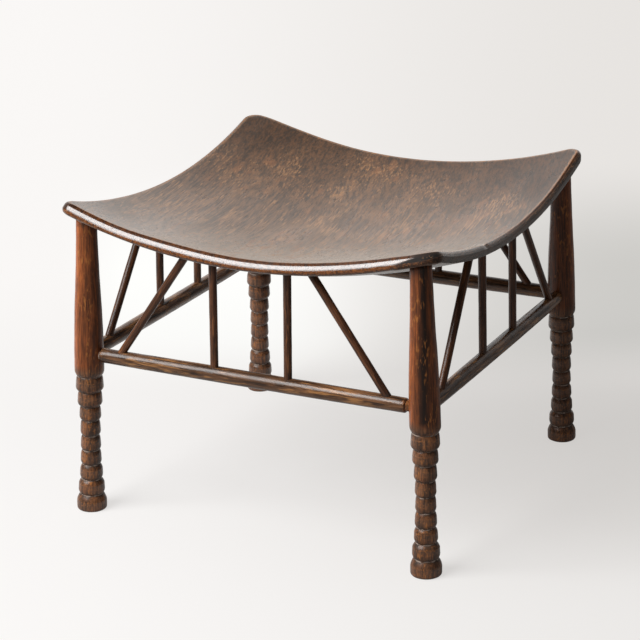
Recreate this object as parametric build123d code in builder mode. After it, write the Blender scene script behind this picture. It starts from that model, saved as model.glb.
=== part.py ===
from build123d import *
import os
from math import radians, sqrt, tan

# A low square stool: a seat dished like a shallow bowl, four ring-turned legs, four turned
# rails, and between the rails and the seat a lattice of eight uprights and eight braces.
# The origin is on the floor under the middle of the seat. +Z is up, +X runs to the right
# along the front edge and +Y runs to the back. All lengths are in millimetres.

# Seat
seat_side = 430
seat_thickness = 14
seat_underside_height = 268
dish_radius = 653
seat_corner_radius = 20
seat_top_edge_radius = 6
seat_underside_edge_radius = 7

# Legs
foot_inset = 15
leg_splay = 1.17
leg_diameter = 32
leg_head_diameter = 22.2
leg_shoulder_height = 6.5

# Rings of the legs, counted up from the foot
foot_diameter = 32.8
foot_height = 18.2
foot_edge_radius = 3.5
foot_trim = 1
waist_diameter = 22
ring_pitch = 17
groove_depth = 1.8
ring_arris_inset = 0.3

# Rails
rail_height = 179.4
rail_diameter = 17
rail_end_diameter = 15.6
rail_end_rounding = 1.8
rail_drawn_out = 3.5

# Uprights and braces
spindle_diameter = 8.6
upright_spacing = 86
brace_foot_inset = 36.8
brace_head_spacing = 149
front_left_brace_askew = 4
right_front_brace_askew = 6.5

# Round tenons and their blind holes
leg_tenon_diameter = 14
leg_tenon_length = 8
rail_tenon_diameter = 11.5
rail_tenon_stop = 7
spindle_rail_stop = 2.5
spindle_seat_depth = 7
hole_clearance = 0.1
hole_floor_clearance = 0.3
shoulder_clearance = 0.3
seat_clearance = 0.15

# How far a cut or a hidden end runs past what it meets
overrun = 40

# Shares of the outlines
ring_swell_shares = (0.62, 0.29, 0.08, 0.0, 0.03, 0.17, 0.45, 0.74)
ring_belly_share = 0.36
ring_arris_share = 0.70
foot_arris_share = 0.58
leg_taper_shares = ((0.25, 0.89), (0.5, 0.57), (0.75, 0.21), (1, 0))
shoulder_bow_shares = (0.7, 0.3)
rail_straight_share = 0.3

# Worked out from the sizes above
underside_radius = dish_radius + seat_thickness
dish_centre_height = seat_underside_height + underside_radius
dish_centre = Vector(0, 0, dish_centre_height)
lean = tan(radians(leg_splay))
foot_spacing = seat_side - 2 * foot_inset
rail_spacing = foot_spacing - 2 * lean * rail_height
brace_foot_spacing = rail_spacing - 2 * brace_foot_inset
rings_top = foot_height + ring_pitch * len(ring_swell_shares)
leg_radius = leg_diameter / 2
leg_head_radius = leg_head_diameter / 2
foot_radius = foot_diameter / 2
waist_radius = waist_diameter / 2
ring_radii = [waist_radius + (foot_radius - waist_radius) * swell for swell in ring_swell_shares]
band_radii = [foot_radius, *ring_radii, leg_radius]
groove_radii = [min(pair) - groove_depth for pair in zip(band_radii, band_radii[1:])]

# Each corner's side in X and in Y
corners = {
    "front_left": (-1, -1),
    "front_right": (1, -1),
    "back_right": (1, 1),
    "back_left": (-1, 1),
}

# Each side's direction along its rail, and the names of the rail's two ends
sides = {
    "front": (Vector(1, 0, 0), ("left", "right")),
    "right": (Vector(0, 1, 0), ("front", "back")),
    "back": (Vector(-1, 0, 0), ("right", "left")),
    "left": (Vector(0, -1, 0), ("back", "front")),
}

# Two braces stand a little askew: how much further out their heads are than the others'
askew_heads = {
    "brace_front_left": front_left_brace_askew,
    "brace_right_front": right_front_brace_askew,
}

os.makedirs("parts", exist_ok=True)


def under_seat(start, direction):
    """How far along a line from start to the underside of the seat."""
    to_start = start - dish_centre
    along = direction.dot(to_start)
    return -along - sqrt(along**2 - to_start.dot(to_start) + underside_radius**2)


def hole(start, direction, radius, length):
    """Drills a round hole into the part under way."""
    with BuildSketch(Plane(origin=start, z_dir=direction)) as section:
        Circle(radius)
    extrude(section.sketch, amount=length, mode=Mode.SUBTRACT)


def rod(start, direction, radius, length):
    """Adds a round rod to the part under way."""
    with BuildSketch(Plane(origin=start, z_dir=direction)) as section:
        Circle(radius)
    extrude(section.sketch, amount=length)


def leg_line(corner):
    """The foot of a leg's axis on the floor, and the axis's direction."""
    side_x, side_y = corners[corner]
    foot = Vector(side_x * foot_spacing / 2, side_y * foot_spacing / 2, 0)
    return foot, Vector(-side_x * lean, -side_y * lean, 1).normalized()


def side_plane(side):
    """The upright plane of a side: X along the rail's axis, Y up and Z outwards."""
    along = sides[side][0]
    outward = along.cross(Vector(0, 0, 1))
    middle = outward * (rail_spacing / 2) + Vector(0, 0, rail_height)
    return Plane(origin=middle, x_dir=along, z_dir=outward)


def lattice_lines(side):
    """The uprights and braces of a side: each name with its point on the rail's axis and direction."""
    plane = side_plane(side)
    rise = under_seat(plane.origin, Vector(0, 0, 1))
    lines = {}
    for turn, end in zip((-1, 1), sides[side][1]):
        for kind, foot, head in (
            ("spindle", upright_spacing / 2, upright_spacing / 2),
            ("brace", brace_foot_spacing / 2, brace_head_spacing / 2),
        ):
            name = f"{kind}_{side}_{end}"
            reach = head + askew_heads.get(name, 0)
            start = plane.from_local_coords(Vector(turn * foot, 0, 0))
            top = plane.from_local_coords(Vector(turn * reach, rise, -lean * rise))
            lines[name] = (start, (top - start).normalized())
    return lines


# Seat: a slice of a hollow ball, cut to a square with rounded corners and rounded at its edges
with BuildPart() as seat:
    with Locations(dish_centre):
        Sphere(underside_radius, rotation=(90, 0, 0))
        Sphere(dish_radius, rotation=(90, 0, 0), mode=Mode.SUBTRACT)
    with BuildSketch():
        RectangleRounded(seat_side, seat_side, seat_corner_radius)
    extrude(amount=dish_centre_height, mode=Mode.INTERSECT)
    dished_faces = seat.faces().filter_by(GeomType.SPHERE).sort_by(Axis.Z)
    fillet(dished_faces[-1].edges(), radius=seat_top_edge_radius)
    underside = seat.faces().filter_by(GeomType.SPHERE).sort_by(Axis.Z)[0]
    fillet(underside.edges(), radius=seat_underside_edge_radius)
    for corner in corners:
        foot, up = leg_line(corner)
        depth = under_seat(foot, up) + leg_tenon_length + hole_floor_clearance
        hole(foot, up, leg_tenon_diameter / 2 + hole_clearance, depth)
    for side in sides:
        for start, up in lattice_lines(side).values():
            depth = under_seat(start, up) + spindle_seat_depth + hole_floor_clearance
            hole(start, up, spindle_diameter / 2 + hole_clearance, depth)
seat.part.label = "seat"
export_step(seat.part, "parts/seat.step")


# Legs: turned from the foot up, each ring a round-footed band with a sloping top between two grooves
for corner in corners:
    foot, up = leg_line(corner)
    side_x, side_y = corners[corner]
    across = Vector(up.Z, 0, -up.X).normalized()
    with BuildPart() as leg:
        with BuildSketch(Plane(origin=foot, x_dir=across, z_dir=across.cross(up))):
            with BuildLine():
                sole = Line((0, -foot_trim), (foot_radius - foot_edge_radius, -foot_trim))
                edge = TangentArc(
                    sole @ 1, (foot_radius, foot_edge_radius - foot_trim), tangent=(1, 0)
                )
                wall = Line(edge @ 1, (foot_radius, foot_height * foot_arris_share))
                arris = wall @ 1
                for number, ring_radius in enumerate(ring_radii):
                    bottom = foot_height + number * ring_pitch
                    groove = (groove_radii[number], bottom)
                    belly = (ring_radius, bottom + ring_pitch * ring_belly_share)
                    Line(arris, groove)
                    TangentArc(belly, groove, tangent=(0, -1))
                    arris = (ring_radius - ring_arris_inset, bottom + ring_pitch * ring_arris_share)
                    Line(belly, arris)
                top_groove = (groove_radii[-1], rings_top)
                Line(arris, top_groove)
                body_start = rings_top + leg_shoulder_height
                bow_out, bow_up = shoulder_bow_shares
                ThreePointArc(
                    top_groove,
                    (
                        top_groove[0] + (leg_radius - top_groove[0]) * bow_out,
                        rings_top + leg_shoulder_height * bow_up,
                    ),
                    (leg_radius, body_start),
                )
                body_height = under_seat(foot, up) - body_start
                taper = leg_radius - leg_head_radius
                taper_points = [
                    (leg_head_radius + taper * left, body_start + body_height * height)
                    for height, left in leg_taper_shares
                ]
                ThreePointArc((leg_radius, body_start), *taper_points[:2])
                ThreePointArc(*taper_points[1:])
                spare_top = (leg_head_radius, body_start + body_height + overrun)
                Polyline(taper_points[-1], spare_top, (0, spare_top[1]), sole @ 0)
            make_face()
        revolve(axis=Axis(foot, up))
        split(bisect_by=Plane.XY)
        with Locations(dish_centre):
            Sphere(underside_radius + seat_clearance, mode=Mode.SUBTRACT)
        tenon_start = foot + up * (under_seat(foot, up) - overrun)
        rod(tenon_start, up, leg_tenon_diameter / 2, overrun + leg_tenon_length)
        at_rails = foot + up * (rail_height / up.Z)
        for inward in (Vector(-side_x, 0, 0), Vector(0, -side_y, 0)):
            mortise = at_rails + inward * (rail_tenon_stop - hole_floor_clearance)
            hole(mortise, inward, rail_tenon_diameter / 2 + hole_clearance, overrun)
    leg.part.label = f"leg_{corner}"
    export_step(leg.part, f"parts/leg_{corner}.step")


# Rails: each swells towards its middle, and the front one has drawn out of its right-hand leg
for side in sides:
    plane = side_plane(side)
    shoulder = rail_spacing / 2 - leg_radius - shoulder_clearance
    tenon_end = rail_spacing / 2 - rail_tenon_stop
    right_shoulder = shoulder - (rail_drawn_out if side == "front" else 0)
    straight_half = rail_spacing * rail_straight_share / 2
    with BuildPart() as rail:
        with BuildSketch(plane) as outline:
            with BuildLine():
                swell = Polyline(
                    (-shoulder, rail_end_diameter / 2),
                    (-straight_half, rail_diameter / 2),
                    (straight_half, rail_diameter / 2),
                    (right_shoulder, rail_end_diameter / 2),
                )
                Polyline(
                    swell @ 1,
                    (right_shoulder, rail_tenon_diameter / 2),
                    (tenon_end, rail_tenon_diameter / 2),
                    (tenon_end, 0),
                    (-tenon_end, 0),
                    (-tenon_end, rail_tenon_diameter / 2),
                    (-shoulder, rail_tenon_diameter / 2),
                    swell @ 0,
                )
            make_face()
            ends = [outline.vertices().sort_by_distance(swell @ end)[0] for end in (0, 1)]
            fillet(ends, radius=rail_end_rounding)
        revolve(axis=Axis(plane.origin, plane.x_dir))
        for start, up in lattice_lines(side).values():
            floor = spindle_rail_stop - hole_floor_clearance
            hole(start + up * floor, up, spindle_diameter / 2 + hole_clearance, overrun)
    rail.part.label = f"rail_{side}"
    export_step(rail.part, f"parts/rail_{side}.step")


# Uprights and braces: plain round rods let into the rail and the seat
for side in sides:
    for name, (start, up) in lattice_lines(side).items():
        length = under_seat(start, up) + spindle_seat_depth - spindle_rail_stop
        with BuildPart() as spindle:
            rod(start + up * spindle_rail_stop, up, spindle_diameter / 2, length)
        spindle.part.label = name
        export_step(spindle.part, f"parts/{name}.step")
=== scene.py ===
"""A low square oak stool with a dished seat, ring-turned legs and a lattice of slim spindles.

Lengths are in metres in the stool's own frame: the floor is at z = 0, +X runs to the right along
the front edge and +Y runs to the back.
"""

from math import atan2, cos, pi, radians, sin, sqrt, tan

import bpy
import numpy as np
from mathutils import Matrix, Vector, noise


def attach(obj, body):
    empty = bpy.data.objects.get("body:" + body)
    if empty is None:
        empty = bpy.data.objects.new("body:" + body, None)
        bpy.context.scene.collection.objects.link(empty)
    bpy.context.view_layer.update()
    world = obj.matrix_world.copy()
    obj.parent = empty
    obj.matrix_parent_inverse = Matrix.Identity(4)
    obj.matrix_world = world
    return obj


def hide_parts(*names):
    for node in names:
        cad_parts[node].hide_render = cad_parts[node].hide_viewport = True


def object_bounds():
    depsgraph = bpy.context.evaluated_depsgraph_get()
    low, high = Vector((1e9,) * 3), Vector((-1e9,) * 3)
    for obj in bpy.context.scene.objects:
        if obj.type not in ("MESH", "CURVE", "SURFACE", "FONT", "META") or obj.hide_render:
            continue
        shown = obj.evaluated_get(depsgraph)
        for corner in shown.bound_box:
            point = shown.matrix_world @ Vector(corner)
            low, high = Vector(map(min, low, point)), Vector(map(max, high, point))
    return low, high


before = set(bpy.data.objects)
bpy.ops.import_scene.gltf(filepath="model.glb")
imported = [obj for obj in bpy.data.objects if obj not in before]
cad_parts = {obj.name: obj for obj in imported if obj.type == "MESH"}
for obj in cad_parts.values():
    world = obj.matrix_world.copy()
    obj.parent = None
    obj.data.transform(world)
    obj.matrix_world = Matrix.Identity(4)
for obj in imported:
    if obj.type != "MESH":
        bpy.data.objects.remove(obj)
cad_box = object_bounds()

MM = 0.001

# Seat
SEAT_SIDE = 430 * MM
HALF_SIDE = SEAT_SIDE / 2
SEAT_CORNER = 20 * MM
SHARP_CORNER = 14 * MM
SEAT_THICKNESS = 14 * MM
UNDERSIDE_HEIGHT = 268 * MM
DISH_RADIUS = 653 * MM
UNDERSIDE_RADIUS = DISH_RADIUS + SEAT_THICKNESS
DISH_CENTRE = Vector((0, 0, UNDERSIDE_HEIGHT + UNDERSIDE_RADIUS))

# Legs
FOOT_INSET = 15 * MM
FOOT_SPACING = SEAT_SIDE - 2 * FOOT_INSET
LEAN = tan(radians(1.17))
LEG_RADIUS = 16 * MM
LEG_HEAD_RADIUS = 11.1 * MM
SHOULDER_HEIGHT = 6.5 * MM
FOOT_RADIUS = 16.4 * MM
FOOT_HEIGHT = 18.2 * MM
FOOT_ARRIS = FOOT_HEIGHT * 0.58
FOOT_SLOPE_START = (FOOT_ARRIS + 0.6 * MM, FOOT_RADIUS - 0.3 * MM)
FOOT_EDGE = 3.5 * MM
FOOT_CUT_OFF = 1 * MM
WAIST_RADIUS = 11 * MM
RING_PITCH = 17 * MM
GROOVE_DEPTH = 1.8 * MM
GROOVE_BOW = 0.35 * MM
RING_TAPER = 0.3 * MM
RING_SLOPE_INSET = 0.5 * MM
RING_SWELLS = (0.62, 0.29, 0.08, 0.0, 0.03, 0.17, 0.45, 0.74)

# Shares of a ring's pitch: where its rise, its arris and its turning-in end and where its upper
# slope starts, and the span over which its face tapers
RISE_SHARE = 0.3
ARRIS_SHARE = 0.69
TURN_SHARE = 0.72
SLOPE_SHARE = 0.735
FACE_SPAN = 0.4

# The marks worn and grime of a leg's upright faces and of its grooves
FACE_MARKS = (0.42, 0.3)
GROOVE_MARKS = (0, 1)

# How unevenly the turner cut the places, the swells and the depths of the rings
UNEVEN_PLACE = 0.35 * MM
UNEVEN_SWELL = 0.15 * MM
UNEVEN_DEPTH = 0.2 * MM

# How uneven the surfaces of the turned pieces are
LEG_UNEVENNESS = 0.16 * MM
RAIL_UNEVENNESS = 0.14 * MM
SPINDLE_UNEVENNESS = 0.1 * MM

# Rails, uprights and braces
RAIL_HEIGHT = 179.4 * MM
RAIL_RADIUS = 8.5 * MM
RAIL_END_RADIUS = 7.8 * MM
RAIL_ROUNDING = 1.8 * MM
RAIL_CLEARANCE = 0.3 * MM
RAIL_TENON_RADIUS = 5.75 * MM
RAIL_TENON_STOP = 7 * MM
RAIL_TENON_EDGE = 0.4 * MM
RAIL_TENON_FLARE = 0.3 * MM
RAIL_DRAWN_OUT = 3.5 * MM
RAIL_SPACING = FOOT_SPACING - 2 * LEAN * RAIL_HEIGHT
SPINDLE_RADIUS = 4.3 * MM
SPINDLE_TENON = 5 * MM
SPINDLE_SUNK = 3 * MM
UPRIGHT_SPACING = 86 * MM
BRACE_FOOT_INSET = 36.8 * MM
BRACE_FOOT_SPACING = RAIL_SPACING - 2 * BRACE_FOOT_INSET
BRACE_HEAD_SPACING = 149 * MM
ASKEW_HEADS = {"brace_front_left": 4 * MM, "brace_right_front": 6.5 * MM}
LEANING_HEADS = {"front_right": -3.2 * MM}

CORNERS = {
    "front_left": (-1, -1),
    "front_right": (1, -1),
    "back_right": (1, 1),
    "back_left": (-1, 1),
}
SIDES = {
    "front": (Vector((1, 0, 0)), ("left", "right")),
    "right": (Vector((0, 1, 0)), ("front", "back")),
    "back": (Vector((-1, 0, 0)), ("right", "left")),
    "left": (Vector((0, -1, 0)), ("back", "front")),
}
UP = Vector((0, 0, 1))

# The photograph's view, with a long lens, from the right of the front and a little above
VIEW_AZIMUTH = radians(26.33)
VIEW_ELEVATION = radians(19.33)
VIEW_ROLL = radians(-0.76)
VIEW_HEIGHT = 149.2 * MM
VIEW_DISTANCE = 2449.3 * MM
VIEW_ASIDE = -14.8 * MM
VIEW_ABOVE = 31.2 * MM
VIEW_END = 100
LENS_PIXELS = 2194
FRAME_PIXELS = 640
SENSOR = 36
LEVEL_WAY = Vector((cos(VIEW_AZIMUTH), sin(VIEW_AZIMUTH), 0))
BACKDROP_WAY = Vector((-sin(VIEW_AZIMUTH), cos(VIEW_AZIMUTH), 0))


def set_camera():
    """Puts the camera at the photograph's view of the stool."""
    back = UP * sin(VIEW_ELEVATION) - BACKDROP_WAY * cos(VIEW_ELEVATION)
    upright = back.cross(LEVEL_WAY)
    middle = UP * VIEW_HEIGHT + LEVEL_WAY * VIEW_ASIDE + upright * VIEW_ABOVE
    right = LEVEL_WAY * cos(VIEW_ROLL) + upright * sin(VIEW_ROLL)
    above = -LEVEL_WAY * sin(VIEW_ROLL) + upright * cos(VIEW_ROLL)
    turned = Matrix((right, above, back)).transposed().to_4x4()
    lens = bpy.data.cameras.new("photograph_view")
    lens.sensor_width = SENSOR
    lens.lens = LENS_PIXELS / FRAME_PIXELS * SENSOR
    lens.clip_end = VIEW_END
    camera = bpy.data.objects.new("photograph_view", lens)
    camera.matrix_world = Matrix.Translation(middle + back * VIEW_DISTANCE) @ turned
    bpy.context.scene.collection.objects.link(camera)
    bpy.context.scene.camera = camera


class Nodes:
    """Lays shader nodes into one tree: each call adds a node and gives its output."""

    def __init__(self, tree):
        self.tree = tree

    def put(self, kind, values, output=0, **settings):
        """Adds a node of a kind: values go to its inputs, as numbers or as other nodes' outputs."""
        node = self.tree.nodes.new(kind)
        for name, value in settings.items():
            setattr(node, name, value)
        for name, value in values.items():
            self.feed(node.inputs[name], value)
        return node.outputs[output]

    def feed(self, socket, value):
        """Sets a socket to a value, or joins it to another node's output."""
        if isinstance(value, bpy.types.NodeSocket):
            self.tree.links.new(value, socket)
        else:
            socket.default_value = value

    def maths(self, operation, first, second):
        return self.put("ShaderNodeMath", {0: first, 1: second}, operation=operation)

    def times(self, first, second):
        return self.maths("MULTIPLY", first, second)

    def plus(self, first, second):
        return self.maths("ADD", first, second)

    def reach(self, place, way):
        """How far a place lies along a way."""
        return self.put("ShaderNodeVectorMath", {0: place, 1: way}, "Value", operation="DOT_PRODUCT")

    def drawn_out(self, place, share):
        """A place squeezed along the grain to a share, which draws out the pattern laid there."""
        along = self.put("ShaderNodeCombineXYZ", {"X": 1.0, "Y": 1.0, "Z": share})
        return self.put("ShaderNodeVectorMath", {0: place, 1: along}, operation="MULTIPLY")

    def noise(self, place, scale, detail, roughness=0.5):
        values = {"Vector": place, "Scale": scale, "Detail": detail, "Roughness": roughness}
        return self.put("ShaderNodeTexNoise", values)

    def step(self, value, low, high, start=0.0, end=1.0):
        """A smooth step from start to end as a value goes from low to high."""
        values = {"Value": value, "From Min": low, "From Max": high, "To Min": start, "To Max": end}
        return self.put("ShaderNodeMapRange", values, interpolation_type="SMOOTHSTEP")

    def blend(self, share, start, end):
        """A number between two others."""
        return self.put("ShaderNodeMapRange", {"Value": share, "To Min": start, "To Max": end})

    def mix(self, share, first, second):
        """A colour between two others."""
        node = self.tree.nodes.new("ShaderNodeMix")
        node.data_type = "RGBA"
        colours = [socket for socket in node.inputs if socket.type == "RGBA"]
        self.feed(node.inputs["Factor"], share)
        self.feed(colours[0], first)
        self.feed(colours[1], second)
        return next(socket for socket in node.outputs if socket.type == "RGBA")

    def mark(self, name):
        """The value of a mark that a piece carries at each of its points."""
        return self.put("ShaderNodeAttribute", {}, "Fac", attribute_name=name)

    def timber(self):
        """A piece's place in the timber that it was cut from, with Z along the grain."""
        return self.put("ShaderNodeAttribute", {}, "Vector", attribute_name="timber")

    def use(self, effect, values):
        """Places a shared effect and gives all its outputs by name."""
        node = self.tree.nodes.new("ShaderNodeGroup")
        node.node_tree = effect
        for name, value in values.items():
            self.feed(node.inputs[name], value)
        return node.outputs


def new_effect(name, inputs, outputs):
    """An empty shared effect, its nodes, its given inputs and its results."""
    tree = bpy.data.node_groups.new(name, "ShaderNodeTree")
    for label, value in inputs.items():
        kind = "NodeSocketFloat" if isinstance(value, float) else "NodeSocketVector"
        socket = tree.interface.new_socket(label, in_out="INPUT", socket_type=kind)
        socket.default_value = value
    for label in outputs:
        tree.interface.new_socket(label, in_out="OUTPUT", socket_type="NodeSocketFloat")
    given = tree.nodes.new("NodeGroupInput").outputs
    results = tree.nodes.new("NodeGroupOutput").inputs
    return tree, Nodes(tree), given, results


ANYWHERE = (0.0, 0.0, 0.0)

# How many lumps of a pattern lie in a metre across the grain, and how far the grain sways
BENDS = 11.0
STREAKS = 620.0
PORES = 1300.0
GRIME_PATCHES = 160.0
POLISH_PITS = 520.0
SWAY = 14 * MM


def make_grain():
    """Oak's grain along a piece: fine streaks, open pores and their height."""
    effect, nodes, given, results = new_effect(
        "oak grain", {"Place": ANYWHERE, "Fineness": 1.0}, ("Streaks", "Pores", "Height")
    )
    bends = nodes.noise(nodes.drawn_out(given["Place"], 0.12), BENDS, 2.0)
    sway = nodes.put("ShaderNodeCombineXYZ", {"X": nodes.times(bends, SWAY)})
    swaying = nodes.put("ShaderNodeVectorMath", {0: given["Place"], 1: sway}, operation="ADD")
    fine = nodes.times(given["Fineness"], STREAKS)
    slim = nodes.noise(nodes.drawn_out(swaying, 0.05), fine, 3.0, 0.62)
    broad = nodes.noise(nodes.drawn_out(swaying, 0.09), nodes.times(fine, 0.4), 2.0, 0.55)
    streaks = nodes.plus(nodes.times(slim, 0.6), nodes.times(broad, 0.4))
    tiny = nodes.times(given["Fineness"], PORES)
    pores = nodes.step(nodes.noise(nodes.drawn_out(swaying, 0.07), tiny, 2.0, 0.6), 0.56, 0.70)
    nodes.feed(results["Streaks"], nodes.step(streaks, 0.38, 0.62))
    nodes.feed(results["Pores"], pores)
    nodes.feed(results["Height"], nodes.maths("SUBTRACT", nodes.times(streaks, 0.6), pores))
    return effect


def make_clouds():
    """How deep the old stain lies: soft clouds, drawn out along the grain."""
    effect, nodes, given, results = new_effect(
        "stain depth", {"Place": ANYWHERE, "Spread": 30.0}, ("Depth",)
    )
    clouds = nodes.noise(nodes.drawn_out(given["Place"], 0.35), given["Spread"], 4.0, 0.6)
    nodes.feed(results["Depth"], nodes.step(clouds, 0.3, 0.7))
    return effect


def make_flecks():
    """Where the stain has worn through: slim flecks along the grain, gathered in patches."""
    effect, nodes, given, results = new_effect(
        "worn flecks",
        {"Place": ANYWHERE, "Amount": 0.5, "Length": 0.09, "Fineness": 600.0, "Spread": 16.0},
        ("Mask",),
    )
    drawn_out = nodes.drawn_out(given["Place"], given["Length"])
    flecks = nodes.noise(drawn_out, given["Fineness"], 1.3, 0.6)
    patches = nodes.noise(nodes.drawn_out(given["Place"], 0.5), given["Spread"], 3.0, 0.6)
    lift = nodes.step(patches, 0.36, 0.66, -0.08, 0.10)
    level = nodes.plus(nodes.plus(flecks, lift), nodes.times(given["Amount"], 0.2))
    nodes.feed(results["Mask"], nodes.step(level, 0.62, 0.80))
    return effect


def make_edge_wear():
    """Broken-up wear along an edge that carries the mark worn."""
    effect, nodes, given, results = new_effect(
        "edge wear", {"Place": ANYWHERE, "Worn": 0.0, "Breaks": 220.0}, ("Mask",)
    )
    breaks = nodes.noise(given["Place"], given["Breaks"], 3.0, 0.6)
    level = nodes.plus(given["Worn"], nodes.step(breaks, 0.3, 0.7, -0.55, 0.25))
    nodes.feed(results["Mask"], nodes.step(level, 0.25, 0.85))
    return effect


def make_grime():
    """Dark dirt and pale dust where a piece carries the mark grime; the dark part also serves as
    painted shade.
    """
    effect, nodes, given, results = new_effect(
        "old grime", {"Place": ANYWHERE, "Grime": 0.0}, ("Dirt", "Dust")
    )
    patches = nodes.noise(given["Place"], GRIME_PATCHES, 3.0, 0.6)
    dirt = nodes.plus(given["Grime"], nodes.step(patches, 0.3, 0.7, -0.35, 0.2))
    nodes.feed(results["Dirt"], nodes.step(dirt, 0.15, 0.7))
    dust = nodes.plus(given["Grime"], nodes.step(patches, 0.35, 0.65, -0.3, 0.1))
    nodes.feed(results["Dust"], nodes.step(dust, 0.60, 0.95))
    return effect


GRAIN = make_grain()
CLOUDS = make_clouds()
FLECKS = make_flecks()
EDGE_WEAR = make_edge_wear()
GRIME = make_grime()

# Colours of the wood, as linear values
BLACKENED = (0.012, 0.0070, 0.0050, 1)
BARE_OAK = (0.40, 0.150, 0.042, 1)
GOLDEN_OAK = (0.46, 0.215, 0.075, 1)
PORE_DARK = (0.009, 0.0058, 0.0042, 1)
DIRT_GREY = (0.040, 0.030, 0.024, 1)
DUST_PALE = (0.52, 0.40, 0.33, 1)

# How much of the colour underneath each layer hides where it lies thickest
BLOTCH_COVER = 0.42
EDGE_COVER = 0.8
DIRT_COVER = 0.7
DUST_COVER = 0.85

PORE_DEPTH = 0.4 * MM


def stained_colour(nodes, looks, streaks, depth):
    """The colour of the wood before any wear: its streaks in their marked tones, some of them painted
    light, and the stain, whose mark also carries painted shade.
    """
    brown, dark = looks["brown"], looks["dark"]
    for mark, (marked_brown, marked_dark) in looks["marked"].items():
        share = nodes.mark(mark)
        brown = nodes.mix(share, brown, marked_brown)
        dark = nodes.mix(share, dark, marked_dark)
    stain = nodes.maths("MAXIMUM", nodes.times(depth, looks["stain"]), nodes.mark("stained"))
    return nodes.mix(stain, nodes.mix(streaks, dark, brown), BLACKENED)


def stained_oak(name, looks):
    """Stained, waxed and worn oak: gives the material, its nodes and its surface shader."""
    material = bpy.data.materials.new(name)
    material.use_nodes = True
    nodes = Nodes(material.node_tree)
    surface = material.node_tree.nodes["Principled BSDF"]
    place = nodes.timber()
    grain = nodes.use(GRAIN, {"Place": place, "Fineness": looks["fineness"]})
    depth = nodes.use(CLOUDS, {"Place": place, "Spread": looks["cloud spread"]})["Depth"]
    amount = nodes.plus(looks["flecks"]["Amount"], nodes.mark("scuffed"))
    rubbed = nodes.use(FLECKS, {"Place": place, **looks["flecks"], "Amount": amount})["Mask"]
    wear = {"Place": place, "Worn": nodes.mark("worn"), "Breaks": looks["breaks"]}
    edges = nodes.use(EDGE_WEAR, wear)["Mask"]
    grime = nodes.use(GRIME, {"Place": place, "Grime": nodes.mark("grime")})
    colour = stained_colour(nodes, looks, grain["Streaks"], depth)
    if "blotches" in looks:
        unstained = nodes.step(nodes.mark("sat_on"), 0.0, 0.35)
        rubbed = nodes.times(rubbed, unstained)
        blotches = nodes.use(FLECKS, {"Place": place, **looks["blotches"]})["Mask"]
        cover = nodes.times(unstained, BLOTCH_COVER)
        colour = nodes.mix(nodes.times(blotches, cover), colour, looks["blotch"])
    colour = nodes.mix(nodes.times(rubbed, looks["rubbed"]), colour, looks["bare"])
    colour = nodes.mix(nodes.times(edges, EDGE_COVER), colour, BARE_OAK)
    colour = nodes.mix(nodes.times(grain["Pores"], looks["pores"]), colour, PORE_DARK)
    colour = nodes.mix(nodes.times(grime["Dirt"], DIRT_COVER), colour, DIRT_GREY)
    colour = nodes.mix(nodes.times(grime["Dust"], DUST_COVER), colour, DUST_PALE)
    nodes.feed(surface.inputs["Base Color"], colour)
    dull = nodes.maths("MAXIMUM", grime["Dirt"], nodes.times(depth, 0.5))
    waxed = nodes.step(dull, 0.0, 1.0, *looks["roughness"])
    nodes.feed(surface.inputs["Roughness"], nodes.plus(waxed, nodes.times(nodes.mark("dulled"), 0.6)))
    surface.inputs["Specular IOR Level"].default_value = looks["shine"]
    bump = {"Height": grain["Height"], "Strength": looks["relief"], "Distance": PORE_DEPTH}
    nodes.feed(surface.inputs["Normal"], nodes.put("ShaderNodeBump", bump))
    return material, nodes, surface


def seat_oak():
    """The seat's stain has worn to a greyish brown with many short orange streaks."""
    looks = {
        "brown": (0.195, 0.096, 0.050, 1),
        "dark": (0.078, 0.050, 0.034, 1),
        "marked": {
            "scuffed": ((0.60, 0.36, 0.20, 1), (0.20, 0.13, 0.09, 1)),
            "sat_on": ((0.39, 0.212, 0.116, 1), (0.165, 0.108, 0.075, 1)),
            "edge": ((0.34, 0.100, 0.014, 1), (0.080, 0.023, 0.005, 1)),
            # The pale tones paint a sheen on the front and right of the top, and a little on the edge
            "pale": ((0.78, 0.665, 0.56, 1), (0.63, 0.55, 0.475, 1)),
        },
        "bare": (0.53, 0.275, 0.130, 1),
        "blotch": (0.42, 0.180, 0.078, 1),
        "blotches": {"Amount": 0.18, "Length": 0.28, "Fineness": 100.0, "Spread": 13.0},
        "breaks": 520.0,
        "stain": 0.28,
        "rubbed": 0.68,
        "pores": 0.7,
        "fineness": 0.8,
        "cloud spread": 16.0,
        "flecks": {"Amount": 0.22, "Length": 0.07, "Fineness": 520.0, "Spread": 20.0},
        "roughness": (0.26, 0.38),
        "shine": 0.6,
        "relief": 0.3,
    }
    material, nodes, surface = stained_oak("worn seat oak", looks)
    lumps = nodes.noise(nodes.timber(), POLISH_PITS, 2.0, 0.6)
    pits = nodes.step(lumps, 0.62, 0.70, 1.0, 0.15)
    nodes.feed(surface.inputs["Coat Weight"], nodes.times(nodes.mark("polish"), pits))
    surface.inputs["Coat Roughness"].default_value = 0.1
    surface.inputs["Coat IOR"].default_value = 1.6
    surface.inputs["Sheen Weight"].default_value = 0.2
    surface.inputs["Sheen Roughness"].default_value = 0.4
    surface.inputs["Sheen Tint"].default_value = (1.0, 0.9, 0.8, 1)
    return material


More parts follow.
